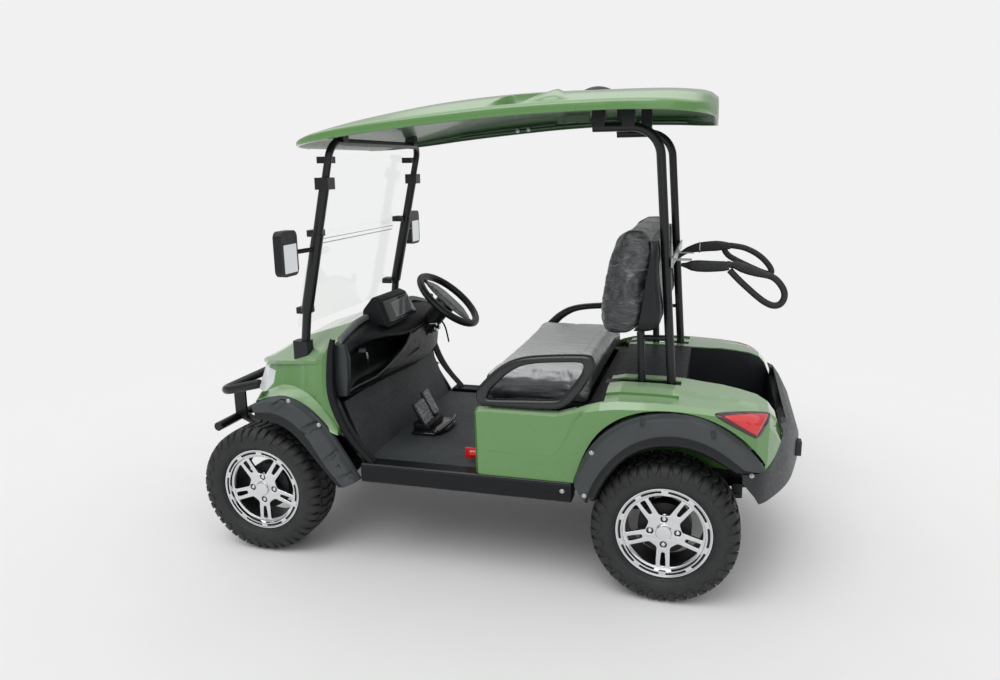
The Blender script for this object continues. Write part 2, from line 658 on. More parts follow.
# Dashboard, its end blocks and the recess
DASH_TOP = mm([(553, 512, 905), (556, 440, 930), (556, 330, 952), (556, 160, 968), (556, 0, 972),
               (556, -160, 968), (556, -330, 952), (556, -440, 930), (553, -512, 905)])
DASH_LIP = mm([(508, 512, 880), (490, 470, 912), (475, 386, 920), (460, 239, 908), (439, 30, 869),
               (439, -115, 878), (441, -236, 888), (455, -400, 902), (500, -512, 880)])
RECESS = mm([(508, 540, 715), (420, 548, 722), (300, 546, 728), (160, 530, 740), (20, 520, 750),
             (-160, 510, 760)])
DASH_ROLL = mm([(512, 512, 722), (442, 500, 731), (360, 478, 742), (280, 470, 735), (150, 470, 730),
                (0, 470, 720), (-200, 468, 705), (-360, 475, 710), (-512, 505, 715)])
ROLL_FORM = mm([(50, 4), (12, 3), (0, -3), (2, -12), (20, -38), (60, -58)])
FACE_TOP = mm([(439, 22, 862), (439, -20, 862), (440, -60, 866), (440, -110, 870), (440, -160, 872),
               (441, -236, 878), (448, -330, 886), (458, -420, 890), (500, -512, 872)])
FACE_LOW = mm([(440, 20, 858), (441, 128, 801), (447, 246, 772), (459, 350, 746), (470, 200, 728),
               (468, 0, 716), (468, -200, 704), (474, -360, 708), (505, -512, 716)])
RIDGE = mm([(437.5, 20, 866), (438, 55, 836), (439, 128, 804), (445, 246, 775), (456, 338, 751),
            (468, 372, 742), (489, 430, 735), (503, 468, 730), (512, 512, 724)])
SEAL_FORM = mm([(574, 2), (572, 9), (560, 10), (549, 6), (547, -12)])
DASH_END = mm([(562, 921), (514, 913), (505, 861), (507, 780), (516, 703), (575, 700)])
BAND_OUTER = mm([(560, 952), (572, 920), (579, 874), (584, 800), (584, 740), (572, 680), (550, 620),
                 (517, 557), (470, 500), (419, 452), (412, 446)])
BAND_INNER = mm([(540, 946), (545, 915), (548, 870), (550, 800), (550, 745), (538, 690), (513, 620),
                 (478, 557), (438, 505), (395, 462), (385, 446)])


def dash_pieces():
    rows = []
    for front, rear in zip(DASH_TOP, DASH_LIP):
        front, rear = Vector(front), Vector(rear)
        rows.append([front, front.lerp(rear, 0.06), front.lerp(rear, 0.55) + Vector((0, 0, 0.010)),
                     front.lerp(rear, 0.93) + Vector((0, 0, 0.004)), rear, rear + Vector((0.002, 0, -0.016)),
                     rear + Vector((0.020, 0, -0.020)), rear.lerp(front, 0.5) + Vector((0, 0, -0.026))])
    sheet_of("dash_top", rows, "black_plastic", 0.004, 2, stands_for="dashboard")
    rows = []
    for y, x, z in RECESS:
        rows.append([(x - 0.02, y, 0.895), (x, y, 0.87), (x + 0.004, y, 0.80), (x - 0.004, y, z + 0.02),
                     (x - 0.03, y, z), (0.487 - 0.054 * (0.508 - y), y, z - 0.002)])
    sheet_of("dash_recess", rows, "dark_satin", 0.003, 2)
    rows = [[(x + dx, y, z + dz) for dx, dz in ROLL_FORM] + [(0.575, y, 0.655)] for y, x, z in DASH_ROLL]
    sheet_of("dash_bottom", rows, "black_plastic", 0.003, 2)
    rows = []
    for top, low in zip(FACE_TOP, FACE_LOW):
        rows.append([Vector(top).lerp(Vector(low), share) + Vector((0.012 * math.sin(math.pi * share), 0, 0))
                     for share in (0, 0.33, 0.66, 1)])
    sheet_of("dash_face", rows, "black_plastic", 0.006, 2)
    pipe("dash_ridge", RIDGE, 0.0042, "trim_edge")
    for side, tag in SIDES:
        slab("dash_end_" + tag, [(x, side * 0.535, z) for x, z in DASH_END], (0, -side * 0.034, 0), "dash_end",
             0.007)
        door_band(side, tag)
    hood_seal()
    slab("dash_filler", mm([(556, -500, 620), (572, -500, 760), (572, 500, 760), (556, 500, 620)]),
         (0.006, 0, 0), "dark_satin", 0.001)


def door_band(side, tag):
    """Trim band that follows the door opening."""
    rows = []
    for (x0, z0), (x1, z1) in zip(BAND_OUTER, BAND_INNER):
        reach = 0.566 + 0.022 * min(1.0, max(0.0, (0.98 - z0) / 0.25))
        rows.append([(x0 + 0.001, side * (reach - 0.022), z0), (x0, side * (reach - 0.002), z0),
                     ((x0 + x1) / 2, side * (reach + 0.001), (z0 + z1) / 2),
                     (x1 + 0.004, side * (reach - 0.004), z1), (x1, side * (reach - 0.012), z1),
                     (x1 + 0.012, side * 0.530, z1)])
    sheet_of("door_band_" + tag, rows, "black_plastic", 0.004, 2, stands_for="door_trims")


def hood_seal():
    """Seal laid along the hood's rear edge."""
    hood = reach_of("front_cowl")
    rows = []
    for step in range(29):
        y = 0.535 - 1.07 * step / 28
        hit = hood(Vector((0.566, y, 1.2)), Vector((0, 0, -1)))
        z = hit.z if hit else 0.985 - 0.224 * y * y
        rows.append([(x, y, z + rise) for x, rise in SEAL_FORM])
    sheet_of("hood_seal", rows, "seal_grey")


# Instrument binnacle with its screen
def binnacle():
    rear = mm([(506, 212, 1050), (506, -98, 1040), (452, -104, 936), (452, 236, 930)])
    front = mm([(578, 226, 1000), (578, -146, 1022), (578, -150, 950), (578, 226, 940)])
    ridge = mm([(535, 212, 1058), (545, -115, 1050)])
    mesh = bmesh.new()
    r, f, t = grid_of(mesh, [rear, front, ridge])
    for face in ((r[0], r[1], r[2], r[3]), (r[1], r[0], t[0], t[1]), (t[1], t[0], f[0], f[1]),
                 (r[0], r[3], f[3], f[0], t[0]), (r[1], t[1], f[1], f[2], r[2]), (f[0], f[3], f[2], f[1]),
                 (r[3], r[2], f[2], f[3])):
        mesh.faces.new(face)
    bmesh.ops.recalc_face_normals(mesh, faces=mesh.faces)
    finished("binnacle", mesh, ["black_plastic"], 0.009, 0, 40, segments=4, stands_for="instrument_pod")
    corners = [Vector(p) for p in rear]
    normal = (corners[1] - corners[0]).cross(corners[3] - corners[0]).normalized()
    if normal.x > 0:
        normal = -normal

    def on_face(shares, lift):
        return [corners[0].lerp(corners[1], a).lerp(corners[3].lerp(corners[2], a), b) + normal * lift
                for a, b in shares]
    slab("binnacle_frame", on_face([(0.09, 0.13), (0.965, 0.11), (0.965, 0.90), (0.09, 0.86)], 0.0045),
         -normal * 0.006, "gloss_black")
    slab("binnacle_screen", on_face([(0.30, 0.25), (0.925, 0.18), (0.925, 0.82), (0.30, 0.80)], 0.0062),
         -normal * 0.004, "screen_grey", 0.002, stands_for="display_screen")


# Pedals on their base plate
PEDAL_TILT = math.radians(28)
# Name, middle, width, height, and columns and rows of grip studs
PEDALS = [("brake", (0.352, 0.110, 0.520), 0.104, 0.104, 5, 6),
          ("throttle", (0.356, 0.014, 0.538), 0.062, 0.112, 3, 7)]


def pedal(name, centre, wide, high, columns, rows):
    lean = Vector((-math.cos(PEDAL_TILT), 0, math.sin(PEDAL_TILT)))
    up = Vector((math.sin(PEDAL_TILT), 0, math.cos(PEDAL_TILT)))
    across = Vector((0, 1, 0))
    centre = Vector(centre)

    def quad(middle, w, h, out):
        return [middle + across * (sx * w / 2) + up * (sz * h / 2) + lean * out
                for sx, sz in ((1, 1), (-1, 1), (-1, -1), (1, -1))]
    slab("pedal_%s_body" % name, quad(centre, wide + 0.010, high + 0.010, 0.0), -lean * 0.014, "gloss_black",
         stands_for="pedals")
    mesh = bmesh.new()
    base, under = grid_of(mesh, [quad(centre, wide, high, 0.0025), quad(centre, wide, high, 0.0)])
    mesh.faces.new(base)
    bridge(mesh, [base, under])
    cell_w, cell_h = wide / columns, high / rows
    for i in range(columns):
        for j in range(rows):
            middle = centre + across * (cell_w * (i + 0.5) - wide / 2) + up * (cell_h * (j + 0.5) - high / 2)
            w, h = (cell_w * 0.72, cell_h * 0.34) if (i + j) % 2 else (cell_w * 0.36, cell_h * 0.70)
            low, top = grid_of(mesh, [quad(middle, w, h, 0.0025), quad(middle, w * 0.72, h * 0.72, 0.0062)])
            mesh.faces.new(top)
            bridge(mesh, [low, top])
    bmesh.ops.recalc_face_normals(mesh, faces=mesh.faces)
    finished("pedal_%s_pad" % name, mesh, ["pad_silver"], smooth=30)
    foot = centre - up * (high * 0.42) - lean * 0.010
    pipe("pedal_%s_arm" % name, [foot, foot + Vector((0.005, 0, -0.025)), (foot.x + 0.018, foot.y, 0.448)],
         0.008, "gloss_black")


def pedal_base():
    slab("pedal_base", mm([(383, 200, 439.5), (275, 198, 439.5), (235, 120, 439.5), (232, 20, 439.5),
                           (275, -30, 439.5), (400, -30, 439.5)]), (0, 0, 0.012), "gloss_black", 0.004)
    pipe("pedal_heel_bar", mm([(262, 185, 455), (245, 120, 462), (238, 50, 470), (248, -10, 470)]), 0.008,
         "gloss_black")
    slab("pedal_housing", mm([(300, 165, 449), (300, -5, 449), (385, -5, 449), (385, 165, 449)]),
         (0.006, 0, 0.030), "black_plastic", 0.008)


# Lock with its hanging key, and the column's key switch
def lock_and_key():
    pipe("glove_lock", mm([(535, 372, 858), (512, 352, 856)]), 0.0115, "trim_edge", smooth_line=False)
    slab("glove_key", mm([(508, 352, 848), (508, 338, 842), (508, 314, 792), (508, 318, 776), (508, 328, 780),
                          (508, 346, 822)]), (0.004, 0, 0), "screw_steel", 0.0012)
    rng = random.Random(11)
    x = 0.405
    for index in range(7):
        y = -0.185 - 0.105 * rng.random()
        z = 0.826 + 0.035 * rng.random()
        tip = (x - 0.012 * rng.random() - 0.004, y + 0.008 * rng.random(), z + 0.005)
        pipe("switch_bit_%d" % index, [(x + 0.02, y, z), tip], 0.004 + 0.005 * rng.random(), "screw_steel",
             smooth_line=False)
    pipe("column_lead", mm([(372, -150, 905), (358, -186, 880), (352, -212, 840), (352, -232, 800),
                            (350, -243, 768)]), 0.0042, "gloss_black")


dash_pieces()
binnacle()
for row in PEDALS:
    pedal(*row)
pedal_base()
lock_and_key()


# Cushions
def edited(made, change):
    """Run a change on a piece's mesh with its normals up to date."""
    mesh = bmesh.new()
    mesh.from_mesh(made.data)
    mesh.normal_update()
    change(mesh)
    mesh.to_mesh(made.data)
    mesh.free()


def swell(made, pressure, cap):
    """Inflate by cloth under pressure, with no point moved further than the cap."""
    rest = [vert.co.copy() for vert in made.data.vertices]
    cloth = made.modifiers.new("cloth", "CLOTH")
    cloth.settings.quality = 4
    cloth.settings.use_pressure = True
    cloth.settings.uniform_pressure_force = pressure
    cloth.settings.effector_weights.gravity = 0
    scene = bpy.context.scene
    for step in range(1, 21):
        scene.frame_set(step)
    shaped = made.evaluated_get(bpy.context.evaluated_depsgraph_get()).data
    for vert, moved, start in zip(made.data.vertices, shaped.vertices, rest):
        shift = moved.co - start
        if shift.length > cap:
            shift *= cap / shift.length
        vert.co = start + shift
    made.modifiers.remove(cloth)
    scene.frame_set(1)


def cushion(node_name, name, material, body, shrink, cap, stretch, depth, shorten, seams):
    """Swell a CAD cushion into a stuffed form, then lay fine wrinkles along it."""
    made = added(name, NODES[node_name].data.copy())
    edited(made, lambda mesh: bmesh.ops.remove_doubles(mesh, verts=mesh.verts, dist=0.0002))
    remesh = made.modifiers.new("voxels", "REMESH")
    remesh.mode = "VOXEL"
    remesh.voxel_size = 0.0075
    remesh.use_smooth_shade = True
    bake(made)

    def shrunk(mesh):
        for vert in mesh.verts:
            vert.co -= vert.normal * shrink
    edited(made, shrunk)
    if shorten:
        front = max(vert.co.x for vert in made.data.vertices)
        for vert in made.data.vertices:
            vert.co.x = front + (vert.co.x - front) * shorten
    swell(made, 4.0, cap)
    made.modifiers.new("smooth", "SUBSURF").levels = 1
    bake(made)

    def wrinkled(mesh):
        for vert in mesh.verts:
            place = Vector([c * s for c, s in zip(vert.co, stretch)])
            ridge = 1 - abs(noise.noise(place)) * 2
            second = 1 - abs(noise.noise(place * 2.3 + Vector((7, 3, 5)))) * 2
            vert.co += vert.normal * (ridge * 0.65 + second * 0.35 - 0.4) * depth
        if seams:
            sewn(mesh)
        for face in mesh.faces:
            face.smooth = True
    edited(made, wrinkled)
    made.data.materials.clear()
    made.data.materials.append(M[material])
    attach(made, body)
    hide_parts(node_name)


def sewn(mesh):
    """Sewn channels of the seat: two along it and one across its rear."""
    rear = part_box("seat_cushion")[0][0] + 0.135
    for vert in mesh.verts:
        if vert.normal.z > 0.4:
            for line in (0.155, -0.155):
                vert.co.z -= 0.004 * math.exp(-(abs(vert.co.y - line) / 0.004) ** 2)
            vert.co.z -= 0.003 * math.exp(-(abs(vert.co.x - rear) / 0.004) ** 2)


cushion("seat_cushion", "seat_pad", "seat_top_vinyl", "seat", 0.009, 0.022, (5, 20, 20), 0.0022, 0.915, True)
cushion("seat_back", "seat_back_pad", "seat_vinyl", "chassis", 0.008, 0.02, (7, 14, 30), 0.0030, None, False)


# Bag straps: a padded sleeve on the bracket, then a round loop
def oval_tube(name, points, sizes, material, resolution=10, closed=False, power=2.6, **given):
    """Tube through points in a plane of constant y, with a flattened section at each point."""
    route, carrier = line_curve(name, points, closed)
    route.resolution_u = resolution
    path = [vert.co.copy() for vert in evaluated_mesh(carrier).vertices]
    bpy.data.objects.remove(carrier)
    across = Vector((0, 1, 0))
    rows = []
    last = len(points) if closed else len(points) - 1
    for index, here in enumerate(path):
        before = path[index - 1] if (closed or index > 0) else here
        after = path[(index + 1) % len(path)] if (closed or index < len(path) - 1) else here
        up = (after - before).normalized().cross(across).normalized()
        share = index / (len(path) if closed else len(path) - 1) * last
        first = int(share) % len(points)
        second = (first + 1) % len(points) if closed else min(first + 1, last)
        wide, high = Vector(sizes[first]).lerp(Vector(sizes[second]), share - int(share))
        ring = []
        for c, s in circle(1, 20):
            u = math.copysign(abs(c) ** (2 / power), c) * wide
            v = math.copysign(abs(s) ** (2 / power), s) * high
            ring.append(here + across * u + up * v)
        rows.append(ring)
    mesh = bmesh.new()
    bridge(mesh, grid_of(mesh, rows), loop=closed, caps=not closed)
    bmesh.ops.recalc_face_normals(mesh, faces=mesh.faces)
    return piece_from(name, mesh, [material], smooth=60, **given)


PAD_SIZES = mm([(16, 13), (19, 18.5), (19, 18.5), (18, 16), (15, 11)])
# Name, y, sleeve and its sizes, loop and its size, and the pad on the loop. Places are x and z, sizes are half
# width and half height.
STRAPS = [
    ("near", 0.13,
     mm([(-763, 1216), (-779, 1214), (-798, 1213), (-825, 1212), (-860, 1211), (-905, 1212), (-940, 1214),
         (-946, 1214)]),
     mm([(8, 6), (13, 12), (17, 19.5), (18, 22.5), (18, 22.5), (18, 21), (18, 19), (14, 15)]),
     mm([(-936, 1222), (-970, 1216), (-1021, 1200), (-1071, 1184), (-1107, 1177), (-1134, 1154), (-1154, 1122),
         (-1156, 1093), (-1142, 1068), (-1117, 1062), (-1087, 1074), (-1053, 1099), (-1011, 1136), (-976, 1168),
         (-948, 1198)]),
     (0.0130, 0.0125), mm([(-957, 1222), (-985, 1212), (-1020, 1200), (-1062, 1187), (-1088, 1180)])),
    ("far", -0.13,
     mm([(-744, 1222), (-766, 1240), (-790, 1250), (-820, 1258), (-860, 1263), (-905, 1266), (-940, 1266),
         (-952, 1265)]),
     mm([(10, 10), (14, 13), (16, 16), (18, 20), (18, 21), (18, 21.5), (17, 17), (13, 12)]),
     mm([(-945, 1268), (-990, 1264), (-1030, 1250), (-1068, 1228), (-1100, 1198), (-1121, 1166), (-1116, 1150),
         (-1085, 1157), (-1030, 1181), (-975, 1207), (-935, 1230), (-926, 1252)]),
     (0.0125, 0.0120), None)]


def bag_strap(tag, y, sleeve, sleeve_sizes, loop, loop_size, pad):
    def at(points):
        return [(x, y, z) for x, z in points]
    made = oval_tube("strap_sleeve_" + tag, at(sleeve), sleeve_sizes, "strap_webbing", 12, power=3.4,
                     stands_for="bag_straps")
    oval_tube("strap_loop_" + tag, at(loop), [loop_size] * len(loop), "strap_webbing")
    if pad:
        oval_tube("strap_pad_" + tag, at(pad), PAD_SIZES, "strap_webbing", power=3.0)


for row in STRAPS:
    bag_strap(*row)
turns = [a * math.pi / 8 for a in range(16)]
oval_tube("strap_clip", [(-0.826, -0.13 + 0.0215 * math.cos(a), 1.258 + 0.0235 * math.sin(a)) for a in turns],
          [(0.0028, 0.0028)] * 16, "screw_steel", 4, closed=True, slot="holder_metal")


# Roof skin with the side scoops
ROOF_REAR = -0.877
ROOF_FRONT = 0.743
ROOF_LOW = 1.683
ROOF_HIGH = 0.197
# Share of the length, then shares of half the width and of the heights of edge and top
ROOF_STATIONS = [(0.0, 0.62, 0.4, 0.84), (0.018, 0.8, 0.425, 0.93), (0.05, 0.93, 0.45, 0.965),
                 (0.11, 1.0, 0.485, 0.99), (0.22, 1.0, 0.505, 1.0), (0.42, 1.0, 0.46, 0.99),
                 (0.6, 1.0, 0.355, 0.885), (0.76, 1.0, 0.235, 0.68), (0.88, 0.97, 0.12, 0.46),
                 (0.95, 0.87, 0.055, 0.29), (0.985, 0.72, 0.02, 0.175), (1.0, 0.5, 0.0, 0.11)]
# Shares of half the width at which a section has points, closest beside the scoop
ROOF_SHARES = ([0, 0.08, 0.16, 0.24, 0.32, 0.4, 0.48, 0.56, 0.62, 0.68, 0.73]
               + [0.76 + 0.01 * i for i in range(24)] + [0.995, 1.0])


def spline_at(rows, share):
    """Smooth values between rows whose first entry is the place."""
    for index in range(len(rows) - 1):
        if share <= rows[index + 1][0] or index == len(rows) - 2:
            p1, p2 = rows[index], rows[index + 1]
            p0 = rows[index - 1] if index else p1
            p3 = rows[index + 2] if index + 2 < len(rows) else p2
            span = p2[0] - p1[0]
            t = (share - p1[0]) / span
            out = []
            for k in range(1, len(p1)):
                m1 = (p2[k] - p0[k]) / (p2[0] - p0[0]) * span
                m2 = (p3[k] - p1[k]) / (p3[0] - p1[0]) * span
                out.append((2 * t ** 3 - 3 * t ** 2 + 1) * p1[k] + (t ** 3 - 2 * t ** 2 + t) * m1
                           + (-2 * t ** 3 + 3 * t ** 2) * p2[k] + (t ** 3 - t ** 2) * m2)
            return out


def roof_half(x, inset):
    """Half a section of the roof, with the height and depth of its brim."""
    share_width, share_edge, share_top = spline_at(ROOF_STATIONS, (x - ROOF_REAR) / (ROOF_FRONT - ROOF_REAR))
    width = 0.6 * share_width - inset
    edge = ROOF_LOW + share_edge * ROOF_HIGH
    top = ROOF_LOW + share_top * ROOF_HIGH - inset
    rise = max(top - edge, 0.004)
    brim = min(0.028, rise * 0.4)
    reach = width - 0.012
    knots = [(0.0, top), (width * 0.45, top - rise * 0.06), (width * 0.84, edge + rise * 0.7),
             (reach, edge + brim + rise * 0.1)]
    points = [(share * reach, spline_at(knots, share * reach)[0]) for share in ROOF_SHARES]
    points += [(width - 0.008, edge + brim + rise * 0.075), (width - 0.003, edge + brim + rise * 0.03),
               (width, edge + brim - 0.002), (width + 0.0006, edge + brim * 0.5), (width, edge + 0.003),
               (width - 0.003, edge)]
    return points, edge, brim


def scoop_ledge(x, y):
    """How far a point lies in the side scoop, from 0 to 1, and the rise of the fin behind it."""
    wall = 0.586 - 0.100 * eased(-0.095, -0.190, x)
    share = min(1.0, max(0.0, (0.586 - y) / 0.10))
    rear = -0.222 - 0.083 * share
    inside = (eased(wall - 0.004, wall + 0.006, y) * eased(0.5880, 0.5860, y)
              * eased(rear - 0.005, rear + 0.004, x) * eased(-0.092, -0.104, x))
    ridge, tail = -0.337, -0.402 + 0.05 * share
    bump = 0.0
    if x < rear:
        bump = 0.012 * (eased(rear + 0.01, ridge, x) if x > ridge else eased(tail - 0.014, ridge, x))
        bump *= eased(0.5875, 0.570, y) * eased(0.440, 0.480, y)
    return inside, bump


def roof_places():
    """Stations along the roof, closest at its ends and in the scoop."""
    places = []
    x = ROOF_REAR
    while x < ROOF_FRONT:
        places.append(x)
        if x < -0.85 or x > 0.715:
            x += 0.004
        elif -0.42 < x < -0.09:
            x += 0.0045
        else:
            x += 0.016
    return places + [ROOF_FRONT]


def both_sides(x, half):
    return [(x, -u, v) for u, v in reversed(half)] + [(x, u, v) for u, v in half[1:]]


def roof_skin():
    outer, inner = [], []
    for x in roof_places():
        half, edge, brim = roof_half(x, 0.0)
        floor = edge + brim + 0.010
        ring = []
        for u, v in half:
            inside, bump = scoop_ledge(x, u)
            ring.append((u + bump * 0.35, min(v, v * (1 - inside) + floor * inside) + bump * 0.9))
        outer.append(both_sides(x, ring))
        half = roof_half(x, 0.018)[0]
        close = max(eased(-0.835, -0.872, x), eased(0.65, 0.735, x))
        ring = []
        for u, v in half[::2] + [half[-1]]:
            v = v * (1 - close) + (edge + 0.002) * close
            inside = scoop_ledge(x, u)[0]
            v = min(v, v * (1 - inside) + (edge + brim - 0.002) * inside)
            ring.append((u, max(v, edge + 0.001)))
        inner.append(both_sides(x, ring))
    mesh = bmesh.new()
    outer, inner = grid_of(mesh, outer), grid_of(mesh, inner)
    bridge(mesh, outer, around=False)
    bridge(mesh, inner, around=False, material=1)
    for end in (0, -1):
        bridge(mesh, [[row[end] for row in outer], [row[end] for row in inner]], around=False)
        mesh.faces.new(outer[end] + inner[end][::-1])
    bmesh.ops.recalc_face_normals(mesh, faces=mesh.faces)
    piece_from("roof_skin", mesh, ["green_paint", "green_under"], smooth=32, stands_for="roof")


def roof_fittings(side, tag):
    rows = []
    x = -0.74
    while x < 0.42:
        half, edge = roof_half(x, 0.018)[:2]
        y, z = half[-3][0] - 0.002, edge + 0.012
        rows.append([(x, side * y, z + 0.012), (x, side * (y - 0.012), z + 0.010), (x, side * (y - 0.014), z),
                     (x, side * y, z - 0.004)])
        x += 0.04
    sheet_of("roof_rail_" + tag, rows, "green_under", 0.002)
    for index, x in enumerate((0.075, 0.02, -0.43, -0.53)):
        half, edge = roof_half(x, 0.018)[:2]
        screw("roof_screw_%s_%d" % (tag, index), (x, side * (half[-3][0] - 0.015), edge + 0.017),
              (0, -side, 0), 0.0075)


# Share of the radius, and height
SCREW_FORM = ((1.35, -0.001), (1.35, 0.0012), (1, 0.0014), (0.96, 0.0028), (0.75, 0.0042), (0.35, 0.0049))


def screw(name, place, out, radius):
    """Round-headed screw with a washer and a small recess."""
    mesh = bmesh.new()
    rings = disc_rings(mesh, [(radius * share, height) for share, height in SCREW_FORM], 20)
    bridge(mesh, rings)
    low = mesh.verts.new((0, 0, 0.0030))
    for i in range(20):
        mesh.faces.new((rings[-1][i], rings[-1][(i + 1) % 20], low))
    turn = Vector((0, 0, 1)).rotation_difference(Vector(out)).to_matrix().to_4x4()
    mesh.transform(Matrix.Translation(place) @ turn)
    piece_from(name, mesh, ["screw_steel"], smooth=40)


# Armrests
ARM_OUTER = mm([(-41, 748), (-43, 775), (-57, 799), (-108, 852), (-148, 883), (-193, 906), (-260, 922),
                (-374, 933), (-458, 936), (-484, 926), (-493, 903), (-486, 874), (-462, 829), (-425, 774),
                (-385, 738), (-337, 722), (-200, 718), (-66, 720), (-47, 732)])
ARM_HOLE = mm([(-165, 849), (-217, 880), (-280, 895), (-370, 903), (-435, 906), (-449, 896), (-443, 867),
               (-408, 816), (-375, 778), (-346, 762), (-220, 754), (-97, 748), (-88, 758), (-102, 787),
               (-133, 818)])


def armrest(side, tag):
    plate = outline_curve("armrest_plate_" + tag, smooth_ring(ARM_OUTER), [smooth_ring(ARM_HOLE)], 0.040, 0.015)
    mesh = bmesh.new()
    plate_into(mesh, plate, side * 0.556)
    bmesh.ops.remove_doubles(mesh, verts=mesh.verts, dist=0.00005)
    piece_from("armrest_" + tag, mesh, ["arm_black"], smooth=50, stands_for="armrests")


# Steering wheel with a film-wrapped pad
WHEEL_CENTRE = (0.347, -0.240, 0.974)
WHEEL_TILT = math.radians(40.5)
HUB = mm([(50, -52), (52, -48), (50, -20), (44, -8)])
# Spoke: distance from the middle, width and height, then its section in shares of them
SPOKE_ROWS = mm([(30, 42, 0), (70, 30, -1), (115, 22, 0), (150, 30, 3), (166, 40, 4)])
SPOKE_FORM = ((1, -0.35), (0.8, 1), (-0.8, 1), (-1, -0.35), (-0.7, -1), (0.7, -1))


def steering_wheel():
    along = Vector((math.cos(WHEEL_TILT), 0, math.sin(WHEEL_TILT)))
    out = Vector((-math.sin(WHEEL_TILT), 0, math.cos(WHEEL_TILT)))
    place = Matrix.Translation(WHEEL_CENTRE) @ Matrix((along, Vector((0, 1, 0)), out)).transposed().to_4x4()
    mesh = bmesh.new()
    rings = []
    for c, s in circle(1):
        ring = []
        for turn in (math.pi * j / 9 for j in range(18)):
            grip = 0.0172 + 0.0009 * math.cos(turn * 3)
            r = 0.1655 + grip * math.cos(turn)
            ring.append((r * c, r * s, 0.004 + grip * math.sin(turn)))
        rings.append(ring)
    bridge(mesh, grid_of(mesh, rings), loop=True)
    bmesh.ops.recalc_face_normals(mesh, faces=mesh.faces)
    mesh.transform(place)
    piece_from("steering_grip", mesh, ["wheel_black"], "steering_wheel", 60, stands_for="steering_wheel")
    mesh = bmesh.new()
    bridge(mesh, disc_rings(mesh, HUB, 40), caps=True)
    mesh.transform(place)
    piece_from("steering_hub", mesh, ["wheel_black"], "steering_wheel", 40)
    for index, turn in enumerate((0, 180, 90)):
        mesh = bmesh.new()
        rings = [[(r, u * wide * 0.575, rise - 0.006 + v * 0.007) for u, v in SPOKE_FORM]
                 for r, wide, rise in SPOKE_ROWS]
        bridge(mesh, grid_of(mesh, rings), caps=True)
        bmesh.ops.recalc_face_normals(mesh, faces=mesh.faces)
        mesh.transform(place @ Matrix.Rotation(math.radians(turn), 4, "Z"))
        finished("steering_spoke_%d" % index, mesh, ["wheel_black"], 0, 1, 50, body="steering_wheel")
    wrapped_pad(place)


def wrapped_pad(place):
    """Pad under crumpled film."""
    rings = []
    for share in (level / 6 for level in range(7)):
        ring = []
        for c, s in circle(1, 40):
            u = math.copysign(abs(c) ** 0.72, c) * 0.142 * (1 - 0.16 * share ** 3)
            v = math.copysign(abs(s) ** 0.8, s) * (0.050 - 0.016 * c * c) * (1 - 0.3 * share ** 2.5)
            crumple = noise.noise(Vector((u * 60, v * 22, share * 3))) * 0.004
            height = -0.008 + 0.024 * share * (1 - 0.35 * abs(c) ** 3) + crumple * share
            ring.append((u, v + crumple * 0.5, height))
        rings.append(ring)
    rings.append([(u * 0.5, v * 0.5, 0.0175 + noise.noise(Vector((u * 50, v * 30, 9))) * 0.004)
                  for u, v, h in rings[-1]])
    mesh = bmesh.new()
    bridge(mesh, grid_of(mesh, rings), caps=True)
    bmesh.ops.recalc_face_normals(mesh, faces=mesh.faces)
    mesh.transform(place)
    finished("steering_pad", mesh, ["film_grey"], 0, 1, 80, body="steering_wheel")


# Wheel-arch flares with a folded lip and screw wells: lines of x and z, from the upper edge to the lip
REAR_TOP = mm([(-426, 459), (-445, 510), (-467, 559), (-496, 605), (-531, 645), (-573, 679), (-619, 706),
               (-669, 726), (-721, 738), (-775, 744), (-828, 742), (-880, 731), (-930, 710), (-976, 682),
               (-1017, 648), (-1055, 609), (-1089, 567)])
REAR_CREASE = mm([(-472, 396), (-487, 438), (-505, 479), (-527, 517), (-553, 554), (-582, 587), (-615, 617),
                  (-652, 641), (-692, 659), (-735, 670), (-778, 675), (-822, 672), (-865, 663), (-907, 648),
                  (-946, 627), (-983, 602), (-1018, 575)])
REAR_LIP = mm([(-479, 391), (-495, 430), (-514, 469), (-536, 505), (-561, 540), (-590, 571), (-622, 598),
               (-658, 619), (-698, 633), (-740, 642), (-782, 645), (-824, 643), (-865, 634), (-905, 619),
               (-943, 600), (-980, 578), (-1017, 556)])
FRONT_TOP = mm([(900, 667), (867, 684), (831, 696), (794, 701), (757, 699), (721, 689), (687, 673),
                (655, 652), (626, 627), (599, 600), (575, 571), (552, 540), (532, 508), (511, 476),
                (490, 444), (470, 411), (450, 379)])
FRONT_CREASE = mm([(885, 639), (853, 643), (822, 645), (790, 641), (760, 633), (732, 620), (705, 602),
                   (681, 581), (660, 558), (640, 532), (623, 505), (606, 478), (589, 452), (570, 426),
                   (549, 401), (529, 376), (507, 352)])
FRONT_LIP = mm([(895, 611), (865, 611), (836, 610), (807, 605), (779, 596), (753, 583), (729, 568),
                (706, 549), (685, 528), (665, 506), (647, 483), (628, 460), (609, 438), (590, 415),
                (570, 393), (551, 371), (532, 348)])
# Share from the top (0) over the crease (1) to the lip (2), and distance from the middle
FLARE_FORM = [(-0.10, 0.586), (-0.08, 0.600), (0, 0.608), (0.06, 0.6195), (0.14, 0.6265), (0.5, 0.6325),
              (0.88, 0.6345), (0.97, 0.6325), (1.10, 0.6285), (1.25, 0.6275), (1.8, 0.6265), (2, 0.6245),
              (2.03, 0.618), (2.02, 0.560)]
FACE_SPANS = 7
